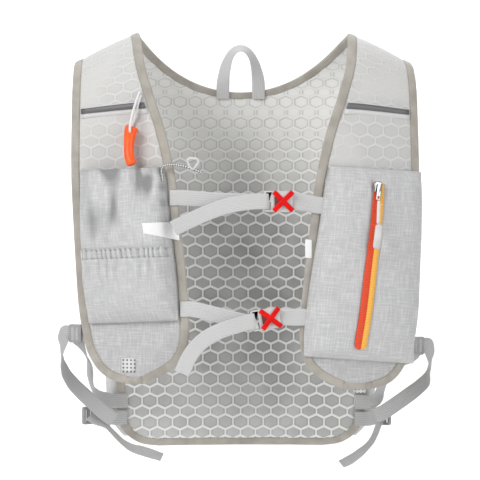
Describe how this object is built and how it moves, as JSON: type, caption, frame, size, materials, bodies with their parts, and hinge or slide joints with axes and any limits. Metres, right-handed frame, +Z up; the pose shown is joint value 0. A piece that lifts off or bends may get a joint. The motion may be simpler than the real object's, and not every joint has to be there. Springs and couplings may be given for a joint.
{
  "type": "running hydration vest",
  "caption": "Sleeveless mesh running vest with front bottle and zip pockets, chest straps, side adjusting straps and a flat rear compartment.",
  "frame": {"origin": "midway between the shoulders, level with the top of the shoulder straps, where the vest sits on its wearer", "axes": "+Z up, the front of the vest faces -Y, +X towards the wearer's left"},
  "size_m": [0.3718, 0.2076, 0.4371],
  "materials": {
    "mesh_cloth": "padded knitted spacer mesh with a honeycomb of pale lines",
    "pocket_cloth": "thin ripstop cloth",
    "binding_tape": "folded elastic edge tape",
    "pale_webbing": "smooth woven webbing",
    "strap_webbing": "smooth woven webbing",
    "reflective_tape": "dark reflective band",
    "orange_tape": "woven zip tape",
    "yellow_tape": "woven zip tape",
    "white_tape": "folded woven tape",
    "white_cord": "braided cord",
    "zip_metal": "plated",
    "pale_plastic": "moulded",
    "lock_plastic": "moulded",
    "red_plastic": "moulded",
    "orange_plastic": "moulded"
  },
  "bodies": {
    "root": {"front_panel_right": "mesh_cloth", "front_panel_left": "mesh_cloth", "back_panel": "mesh_cloth", "neck_binding": "binding_tape", "armhole_binding_right": "binding_tape", "armhole_binding_left": "binding_tape", "rear_shell": "pocket_cloth", "bottle_pocket": "pocket_cloth", "elastic_pocket": "pocket_cloth", "zip_pocket": "pocket_cloth", "zip_tape_orange": "orange_tape", "zip_tape_yellow": "yellow_tape", "zip_slider": "zip_metal", "zip_tongue": "zip_metal", "zip_pull_cord": "white_cord", "zip_grip": "pale_plastic", "strap_tape_right": "pocket_cloth", "strap_tape_left": "pocket_cloth", "reflective_strip_right": "reflective_tape", "reflective_strip_left": "reflective_tape", "grab_loop": "pale_webbing", "buckle_body_upper": "pale_plastic", "buckle_cross_upper": "red_plastic", "chest_strap_upper": "pale_webbing", "chest_elastic_upper": "pale_webbing", "buckle_body_lower": "pale_plastic", "buckle_cross_lower": "red_plastic", "chest_strap_lower": "pale_webbing", "chest_elastic_lower": "pale_webbing", "side_lock_front_right": "lock_plastic", "lock_tape_front_right": "white_tape", "side_lock_rear_right": "lock_plastic", "lock_tape_rear_right": "strap_webbing", "side_strap_right": "strap_webbing", "side_tail_front_right": "strap_webbing", "side_tail_rear_right": "strap_webbing", "label_tab_right": "white_tape", "drain_tab_right": "white_tape", "side_lock_front_left": "lock_plastic", "lock_tape_front_left": "white_tape", "side_lock_rear_left": "lock_plastic", "lock_tape_rear_left": "strap_webbing", "side_strap_left": "strap_webbing", "side_tail_front_left": "strap_webbing", "side_tail_rear_left": "strap_webbing", "label_tab_left": "white_tape", "drain_tab_left": "white_tape", "whistle_cord": "white_cord", "drawcord": "white_cord", "cord_puller": "pale_plastic", "whistle": "orange_plastic"}
  },
  "joints": []
}
